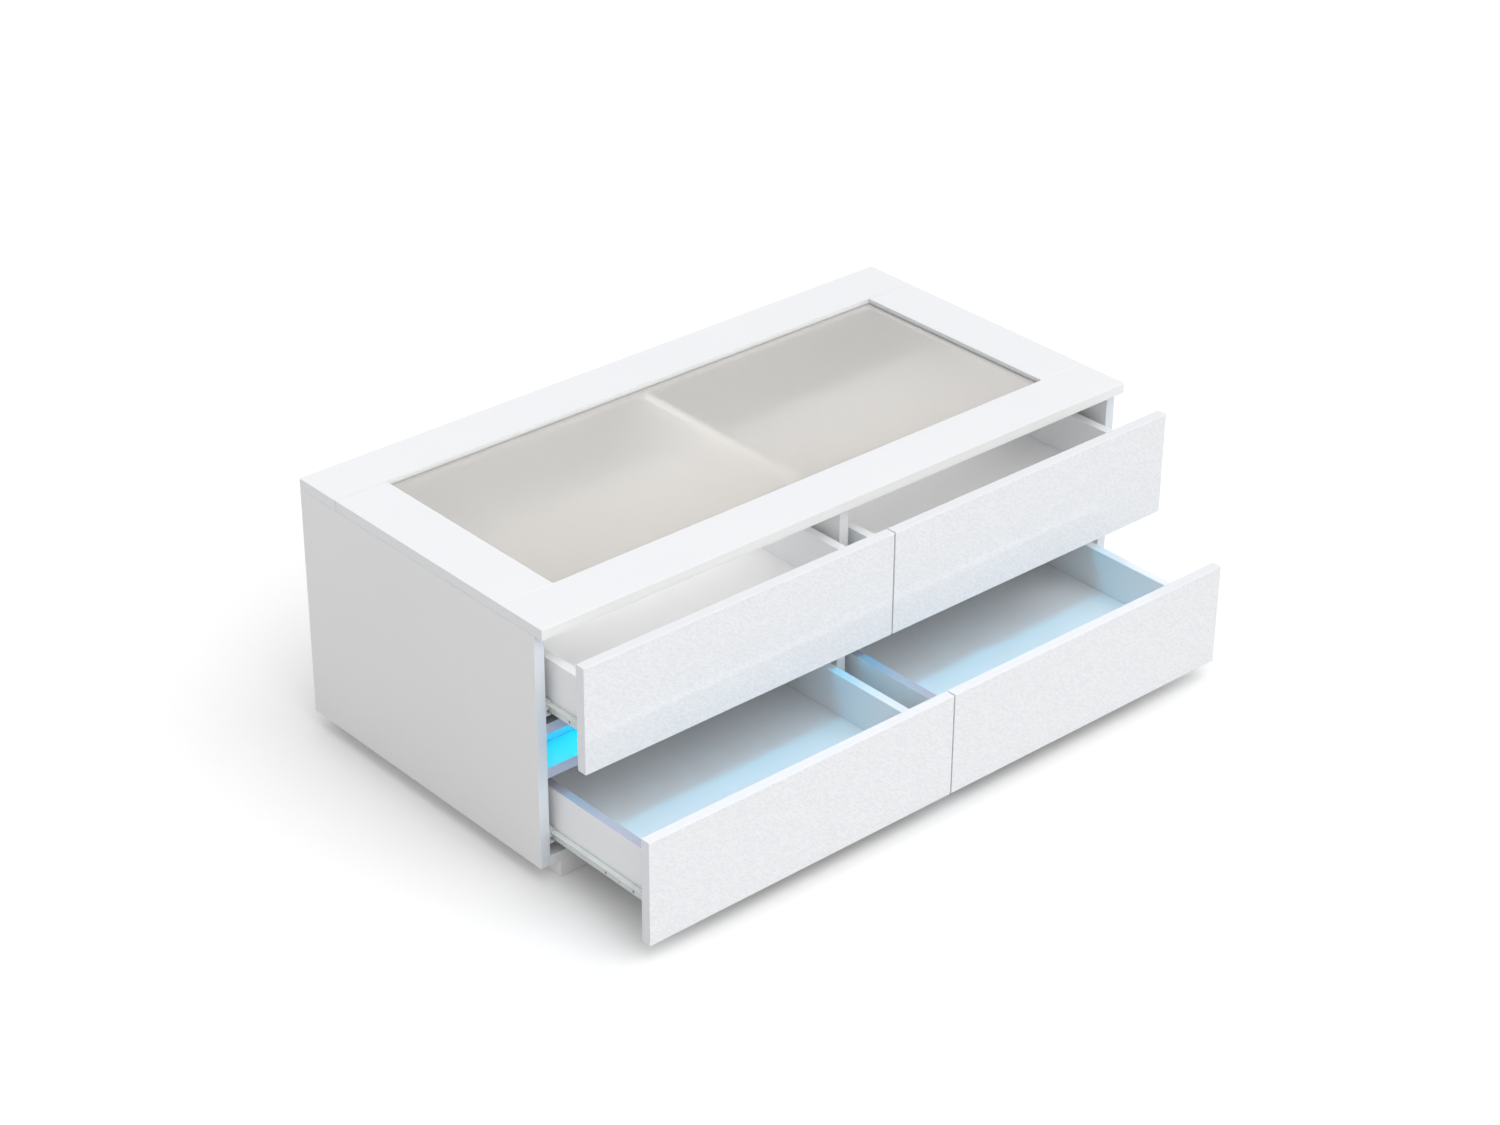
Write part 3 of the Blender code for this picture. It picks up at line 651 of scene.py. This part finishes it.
def turned(shape, profile, y, w, u=0.0):
    """Turn a profile of (distance along X, radius) round an axis along X."""
    centre = Vector(in_mm(u, y, w))
    row = [
        shape.verts.new(centre + Vector(in_mm(along, 0, radius))) for along, radius in profile
    ]
    edges = [shape.edges.new(pair) for pair in zip(row, row[1:])]
    bmesh.ops.spin(
        shape, geom=row + edges, cent=centre, axis=(1, 0, 0), dvec=(0, 0, 0),
        angle=2 * math.pi, steps=ROUND_STEPS, use_merge=True, use_duplicate=False,
    )
    bmesh.ops.remove_doubles(shape, verts=shape.verts, dist=0.001 * MM)
    bmesh.ops.recalc_face_normals(shape, faces=shape.faces)


def roller(radius):
    """A moulded roller's profile: a rounded tread, a recess between rim and hub, and a bore."""
    bore, hub, width, rim = ROLLER_BORE, ROLLER_HUB, ROLLER_WIDTH, radius - ROLLER_RIM
    return (
        (width, bore), (width, hub - 0.3), (width - 0.3, hub),
        (width - 1.5, hub + 0.1), (width - 1.5, rim - 0.1),
        (width - 0.2, rim), (width, rim + 0.3),
        (width, radius - 0.6), (width - 0.18, radius - 0.18), (width - 0.6, radius),
        (0.6, radius), (0.18, radius - 0.18), (0, radius - 0.6),
        (0, bore), (width, bore),
    )


def stop_cone(radii, lift):
    """A short cone, point down, that presses the roller's stop into the channel's top flange."""
    u, y, w = STOP_PLACE
    place = Vector((u * MM, y * MM, (w - STOP_DEPTH / 2) * MM + lift))
    tip, top = radii
    tool = bmesh.new()
    cone_at(
        tool, Matrix.Translation(place), ROUND_STEPS, tip * MM, top * MM, STOP_DEPTH * MM
    )
    return tool


def make_channel():
    """The cabinet member, for a left wall: holes, slots and the stop for the rear roller."""
    shape = rolled(CHANNEL_PATH, (BEND, BEND), CHANNEL_LENGTH)
    holes = bmesh.new()
    for y in CHANNEL_HOLES + CHANNEL_SCREWS:
        punch_hole(holes, CHANNEL_WEB, y, CHANNEL_HOLE_LEVEL)
    for y in CHANNEL_SLOTS:
        punch_hole(holes, CHANNEL_WEB, y, CHANNEL_HOLE_LEVEL, stretch=SLOT_STRETCH)
    shape = worked(shape, holes, "DIFFERENCE")
    shape = worked(shape, stop_cone(STOP_OUTER, 0.0), "UNION")
    return worked(shape, stop_cone(STOP_INNER, STEEL * MM), "DIFFERENCE")


def make_runner():
    """The drawer member, for a left wall: it hooks under the drawer's side."""
    shape = rolled(RUNNER_PATH, (ROOF_BEND, BEND), RUNNER_LENGTH)
    holes = bmesh.new()
    for y in RUNNER_HOLES + RUNNER_SCREWS:
        punch_hole(holes, RUNNER_WEB, y, RUNNER_HOLE_LEVEL)
    for y in RUNNER_SLOTS:
        punch_hole(
            holes, RUNNER_WEB, y, RUNNER_HOLE_LEVEL, NARROW_SLOT_RADIUS, SLOT_STRETCH
        )
    low, high = FRONT_SLOT
    cube_at(holes, in_mm(*low), in_mm(*high))
    notch_start = RUNNER_LENGTH - REAR_INSET - REAR_RADIUS - NOTCH_GAP
    low, high = zip(NOTCH_U, (notch_start, NOTCH_END), NOTCH_W)
    cube_at(holes, in_mm(*low), in_mm(*high))
    return worked(shape, holes, "DIFFERENCE")


def screws(u, level, places, way):
    """A member's row of screws."""
    shape = bmesh.new()
    for y in places:
        screw_head(shape, u, y, level, way)
    return shape


def turned_part(profile, y, w, u=0.0):
    """A turned part of the slide by itself."""
    shape = bmesh.new()
    turned(shape, profile, y, w, u)
    return shape


def slide_parts():
    """Every part of a slide for a left wall, by name with its finishes."""
    rear_y = RUNNER_LENGTH - REAR_INSET
    channel_screws = screws(CHANNEL_SCREW_SEAT, CHANNEL_HOLE_LEVEL, CHANNEL_SCREWS, 1)
    runner_screws = screws(RUNNER_SCREW_SEAT, RUNNER_HOLE_LEVEL, RUNNER_SCREWS, -1)
    front_rivet = turned_part(FRONT_RIVET, FRONT_Y, FRONT_LEVEL)
    front_roller = turned_part(roller(FRONT_RADIUS), FRONT_Y, FRONT_LEVEL, ROLLER_WALL_GAP)
    rear_roller = turned_part(roller(REAR_RADIUS), rear_y, REAR_LEVEL, ROLLER_WALL_GAP)
    rear_rivet = turned_part(REAR_RIVET, rear_y, REAR_LEVEL)
    return {
        "channel": (make_channel(), [EPOXY]),
        "channel_screws": (channel_screws, [ZINC, RECESS_PAINTED_SHADE]),
        "front_rivet": (front_rivet, [ZINC]),
        "front_roller": (front_roller, [NYLON]),
        "runner": (make_runner(), [EPOXY]),
        "runner_screws": (runner_screws, [ZINC, RECESS_PAINTED_SHADE]),
        "rear_roller": (rear_roller, [NYLON]),
        "rear_rivet": (rear_rivet, [ZINC]),
    }


def fit_slide(parts, drawer, wall, hand):
    """Set copies of a slide's parts on one wall of a drawer, mirrored for a right wall."""
    low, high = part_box(f"{drawer}_drawer_{wall}_side")
    wall_x = (high.x if hand > 0 else low.x) + hand * SLIDE_GAP * MM
    channel_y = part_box(f"{drawer}_channel_{wall}")[0].y
    runner_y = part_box(f"{drawer}_runner_{wall}")[0].y
    for part, (master, finishes) in parts.items():
        on_drawer = part.startswith(("runner", "rear"))
        shape = master.copy()
        if hand > 0:
            bmesh.ops.scale(shape, vec=(-1, 1, 1), verts=shape.verts)
            bmesh.ops.reverse_faces(shape, faces=shape.faces)
        y = runner_y if on_drawer else channel_y
        bmesh.ops.translate(shape, vec=(wall_x, y, low.z), verts=shape.verts)
        smooth(shape, TURNED_ANGLE)
        node = f"{drawer}_{part}_{wall}"
        body = f"{drawer}_drawer" if on_drawer else HOME.get(node, "table")
        piece = piece_from(shape, f"{drawer}_{wall}_{part}", body, finishes)
        if node in frame["nodes"]:
            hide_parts(node)


def fit_slides():
    """Fit a slide on both walls of every drawer."""
    parts = slide_parts()
    for drawer in DRAWERS:
        for wall, hand in HANDS.items():
            fit_slide(parts, drawer, wall, hand)
    for master, _ in parts.values():
        master.free()


# ---------------------------------------------------------------- light strip and controller

TAPE_THICKNESS = 0.6 * MM
TAPE_ROUNDING = 0.1 * MM
CHIP_PITCH = 33.3 * MM
CHIP_HALF = 2.5 * MM
CHIP_RIM = 0.6 * MM
LENS_SINK = 0.25 * MM
TAPE_ENDS = 5 * MM

RESISTOR_HALF_LENGTH = 1.6 * MM
RESISTOR_HALF_WIDTH = 0.8 * MM
RESISTOR_HEIGHT = 0.55 * MM
RESISTOR_ROUNDING = 0.12 * MM
RESISTOR_STAGGER = 5 * MM

PAD_RADIUS = 0.9 * MM
PAD_HEIGHT = 0.08 * MM
PAD_PITCH = 2.6 * MM
PAD_SHIFT = 1.3 * MM
PAD_ROWS = 4
PAD_STEPS = 12

CASE_ROUNDING = 2 * MM
CASE_STEPS = 4
SEAM = 0.35 * MM
SOCKET_HOLE_RADIUS = 3 * MM
SOCKET_HOLE_DEPTH = 16 * MM
SOCKET_HOLE_STEPS = 32
SOCKET_SINK = 7.9
SOCKET_PROFILE = (
    (0, 0), (0, 2.95), (7.3, 2.95), (7.6, 2.7), (7.6, 2.3),
    (0.6, 2.3), (0.6, 0.5), (6.4, 0.5), (6.8, 0.25), (6.8, 0),
)


def light_strip():
    """The strip under the upper shelf: a tape with a row of chips, each with a sunk lens."""
    low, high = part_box("led_strip")
    middle = (low.y + high.y) / 2
    tape_bottom = high.z - TAPE_THICKNESS
    count = int((high.x - low.x - TAPE_ENDS) / CHIP_PITCH)
    tape = bmesh.new()
    cube_at(tape, (low.x, low.y, tape_bottom), high)
    round_edges(tape, tape.edges[:], TAPE_ROUNDING, 2)
    smooth(tape, SMALL_PART_ANGLE)
    piece = piece_from(tape, "strip_tape", "table", [TAPE_GLOW])
    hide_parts("led_strip")
    chips = bmesh.new()
    for index in range(count):
        x = (index - (count - 1) / 2) * CHIP_PITCH
        verts = cube_at(
            chips,
            (x - CHIP_HALF, middle - CHIP_HALF, low.z),
            (x + CHIP_HALF, middle + CHIP_HALF, tape_bottom),
        )
        lens = min(faces_of(verts), key=lambda face: face.calc_center_median().z)
        bmesh.ops.inset_individual(chips, faces=[lens], thickness=CHIP_RIM, depth=-LENS_SINK)
        lens.material_index = 1
    piece_from(chips, "strip_chips", "table", [TAPE, CHIP_LIGHT])
    strip_parts(tape_bottom, middle, count)


def strip_parts(tape_bottom, middle, count):
    """A resistor between chips, but solder pads at every third gap, where the tape may be cut."""
    resistors, pads = bmesh.new(), bmesh.new()
    for index in range(count - 1):
        x = (index - (count - 2) / 2) * CHIP_PITCH
        if index % 3 < 2:
            y = middle + (index % 2 - 0.5) * RESISTOR_STAGGER
            verts = cube_at(
                resistors,
                (x - RESISTOR_HALF_LENGTH, y - RESISTOR_HALF_WIDTH, tape_bottom - RESISTOR_HEIGHT),
                (x + RESISTOR_HALF_LENGTH, y + RESISTOR_HALF_WIDTH, tape_bottom),
            )
            for face in faces_of(verts):
                face.material_index = 1 if abs(face.normal.x) > 0.9 else 0
            continue
        for row in range(PAD_ROWS):
            y = middle + (row - (PAD_ROWS - 1) / 2) * PAD_PITCH
            for shift in (-PAD_SHIFT, PAD_SHIFT):
                place = Matrix.Translation((x + shift, y, tape_bottom - PAD_HEIGHT / 2))
                cone_at(pads, place, PAD_STEPS, PAD_RADIUS, PAD_RADIUS, PAD_HEIGHT)
    round_edges(resistors, resistors.edges[:], RESISTOR_ROUNDING, 2)
    smooth(resistors, SMALL_PART_ANGLE)
    smooth(pads, SMALL_PART_ANGLE)
    piece_from(resistors, "strip_resistors", "table", [RESISTOR_BODY, ZINC])
    piece_from(pads, "strip_pads", "table", [COPPER])


def controller():
    """The light's controller: a rounded case of two halves with a seam, and a power socket."""
    low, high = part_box("led_controller")
    middle, half = (low + high) / 2, (high - low) / 2
    shape = bmesh.new()
    cube_at(shape, low, high)
    round_edges(shape, shape.edges[:], CASE_ROUNDING, CASE_STEPS)
    for shift in (-SEAM, 0.0, SEAM):
        bmesh.ops.bisect_plane(
            shape, geom=shape.verts[:] + shape.edges[:] + shape.faces[:], dist=1e-7,
            plane_co=middle + Vector((0, shift, 0)), plane_no=(0, 1, 0),
        )
    for vert in shape.verts:
        if abs(vert.co.y - middle.y) < 1e-6:
            vert.co.x = middle.x + (vert.co.x - middle.x) * (1 - SEAM / half.x)
            vert.co.z = middle.z + (vert.co.z - middle.z) * (1 - SEAM / half.z)
    hole = bmesh.new()
    mouth = Matrix.Translation((high.x, middle.y, middle.z))
    cone_at(
        hole, mouth @ Matrix.Rotation(math.pi / 2, 4, "Y"), SOCKET_HOLE_STEPS,
        SOCKET_HOLE_RADIUS, SOCKET_HOLE_RADIUS, SOCKET_HOLE_DEPTH,
    )
    shape = worked(shape, hole, "DIFFERENCE")
    smooth(shape, TURNED_ANGLE)
    piece = piece_from(shape, "controller_case", "table", [CASE])
    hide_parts("led_controller")
    socket = turned_part(
        SOCKET_PROFILE, middle.y / MM, middle.z / MM, high.x / MM - SOCKET_SINK
    )
    smooth(socket, TURNED_ANGLE)
    piece_from(socket, "controller_socket", "table", [ZINC])


# ---------------------------------------------------------------- camera and studio

# The camera stands here, in metres, and looks this way, in degrees
CAMERA_PLACE = (-2.990, -3.445, 2.809)
CAMERA_HEADING = 41.49
CAMERA_DOWN = 29.69
CAMERA_ROLL = 0.38
CAMERA_LENS = 78.1
CAMERA_SENSOR = 36

FLOOR_HALF = 14
FLOOR_WHITE = 0.97
FLOOR_BOUNCE = 0.62

# Each soft light: its direction, how squarely it faces where full and where gone, its strength
ROOM_LIGHT = 0.62
SOFT_LIGHTS = (
    ((0.0, 0.0, 1.0), 0.9, 0.45, 0.12),
    ((0.15, -0.6, 0.8), 0.97, 0.60, 1.53),
    ((-0.9, -0.3, 0.2), 0.9, 0.0, 0.02),
)

SOAK_WATTS = {"left": 0.36, "right": 0.14}
SOAK_SIDE_MARGIN = 15 * MM
SOAK_END_MARGINS = 30 * MM
SOAK_DROP = 0.8 * MM


def aim_camera():
    """The camera at the photograph's angle."""
    data = bpy.data.cameras.new("camera")
    data.lens = CAMERA_LENS
    data.sensor_width = CAMERA_SENSOR
    camera = bpy.data.objects.new("camera", data)
    bpy.context.scene.collection.objects.link(camera)
    heading = Matrix.Rotation(math.radians(-CAMERA_HEADING), 4, "Z")
    tilt = Matrix.Rotation(math.radians(90 - CAMERA_DOWN), 4, "X")
    roll = Matrix.Rotation(math.radians(CAMERA_ROLL), 4, "Z")
    camera.matrix_world = Matrix.Translation(CAMERA_PLACE) @ heading @ tilt @ roll
    bpy.context.scene.camera = camera


def studio():
    """A plain pale floor under soft light."""
    floor = bmesh.new()
    bmesh.ops.create_grid(floor, x_segments=1, y_segments=1, size=FLOOR_HALF)
    obj = object_of(floor, "floor")
    obj.data.materials.append(floor_paint())
    soft_light()
    soak_light()
    bpy.context.scene.view_settings.view_transform = "Standard"


def floor_paint():
    """Matt white that gives the room less light back than the camera sees."""
    white, bounce = (FLOOR_WHITE,) * 3, (FLOOR_BOUNCE,) * 3
    made = new_finish("floor_paint", white, 0.95, {"Specular IOR Level": 0.0})
    nodes, links = made.node_tree.nodes, made.node_tree.links
    seen = nodes.new("ShaderNodeLightPath")
    mix = nodes.new("ShaderNodeMix")
    mix.data_type = "RGBA"
    mix.inputs[FIRST_COLOUR].default_value = (*bounce, 1)
    mix.inputs[SECOND_COLOUR].default_value = (*white, 1)
    links.new(seen.outputs["Is Camera Ray"], mix.inputs["Factor"])
    links.new(mix.outputs[MIXED_COLOUR], shader_of(made).inputs["Base Color"])
    return made


def soft_light():
    """An even room with wide soft lights overhead, in front and on the left.

    The camera sees plain white behind the table.
    """
    world = bpy.data.worlds.new("studio")
    bpy.context.scene.world = world
    world.use_nodes = True
    tree = world.node_tree
    nodes, links = tree.nodes, tree.links
    total = None
    for direction, full, gone, strength in SOFT_LIGHTS:
        along = alignment(tree, "Generated", Vector(direction).normalized())
        add = nodes.new("ShaderNodeMath")
        add.operation = "ADD"
        add.inputs[1].default_value = ROOM_LIGHT
        links.new(step(tree, along, (gone, full), (0, strength), "SMOOTHSTEP"), add.inputs[0])
        if total:
            links.new(total, add.inputs[1])
        total = add.outputs[0]
    sky = nodes["Background"]
    sky.inputs["Color"].default_value = (1.0, 1.0, 1.0, 1)
    links.new(total, sky.inputs["Strength"])
    plain = nodes.new("ShaderNodeBackground")
    plain.inputs["Strength"].default_value = 1.0
    plain.inputs["Color"].default_value = (1.0, 1.0, 1.0, 1)
    seen = nodes.new("ShaderNodeLightPath")
    mix = nodes.new("ShaderNodeMixShader")
    links.new(seen.outputs["Is Camera Ray"], mix.inputs["Fac"])
    links.new(sky.outputs["Background"], mix.inputs[1])
    links.new(plain.outputs["Background"], mix.inputs[2])
    links.new(mix.outputs["Shader"], nodes["World Output"].inputs["Surface"])


def soak_light():
    """The room's light that soaks through the frosted pane into each bay, stronger on the left."""
    low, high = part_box("frosted_glass")
    reach = high.x - SOAK_SIDE_MARGIN
    for side, hand in HANDS.items():
        data = bpy.data.lights.new(f"soak_{side}", "AREA")
        data.shape = "RECTANGLE"
        data.size = reach
        data.size_y = high.y - low.y - SOAK_END_MARGINS
        data.energy = SOAK_WATTS[side]
        obj = bpy.data.objects.new(f"soak_{side}", data)
        bpy.context.scene.collection.objects.link(obj)
        obj.location = (hand * reach / 2, (low.y + high.y) / 2, low.z - SOAK_DROP)


# ---------------------------------------------------------------- the table

dress_boards()
aim_camera()
lit_board("light_shelf_upper", "recess_ceiling_board", DOWNWARD)
lit_board("light_shelf_lower", "recess_floor_board", UPWARD)
lit_board("light_back_board", "recess_back_board", FORWARD)
frosted_pane()
fit_slides()
light_strip()
controller()
studio()
